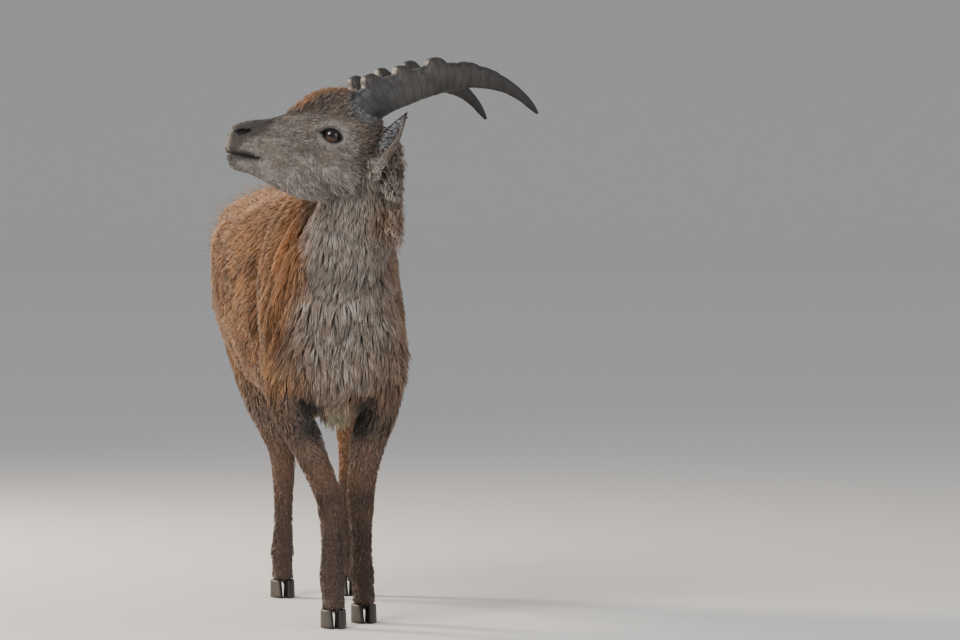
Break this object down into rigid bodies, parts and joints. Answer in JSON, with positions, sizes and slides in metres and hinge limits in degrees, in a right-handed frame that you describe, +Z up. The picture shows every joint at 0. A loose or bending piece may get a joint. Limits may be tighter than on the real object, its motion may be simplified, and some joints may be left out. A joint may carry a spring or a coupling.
{
  "type": "alpine ibex",
  "caption": "Young male alpine ibex at life size, standing still on all its hooves, head turned to its right, with ridged horns swept back and long hair on its chest.",
  "frame": {"origin": "on the floor, under the middle of the animal's box", "axes": "+Z up; the trunk runs along Y and faces -Y, so its left side is +X and its right side, where the head looks, is -X"},
  "size_m": [0.5724, 1.027, 1.0438],
  "materials": {
    "coat": "short woolly hair, warm tan brown",
    "neck_hair": "long hanging hair, grey brown",
    "face_hair": "very short hair, grey brown, darker on the nose and forehead",
    "dark_hair": "short flat hair, dark brown",
    "ear_hair": "short hair, pale inside the cup",
    "eye": "wet amber brown with a dark slit pupil",
    "horn": "dull slate brown horn with fine growth rings",
    "hoof": "dull near-black hoof horn"
  },
  "bodies": {
    "root": {"torso": "coat", "neck": "neck_hair", "head": "face_hair", "tail": "dark_hair", "ear_right": "ear_hair", "ear_left": "ear_hair", "eye_right": "eye", "eye_left": "eye", "horn_right": "horn", "horn_left": "horn", "foreleg_right": "dark_hair", "foreleg_left": "dark_hair", "hindleg_right": "dark_hair", "hindleg_left": "dark_hair", "hoof_fore_right_outer": "hoof", "hoof_fore_right_inner": "hoof", "hoof_fore_left_outer": "hoof", "hoof_fore_left_inner": "hoof", "hoof_hind_right_outer": "hoof", "hoof_hind_right_inner": "hoof", "hoof_hind_left_outer": "hoof", "hoof_hind_left_inner": "hoof"}
  },
  "joints": []
}
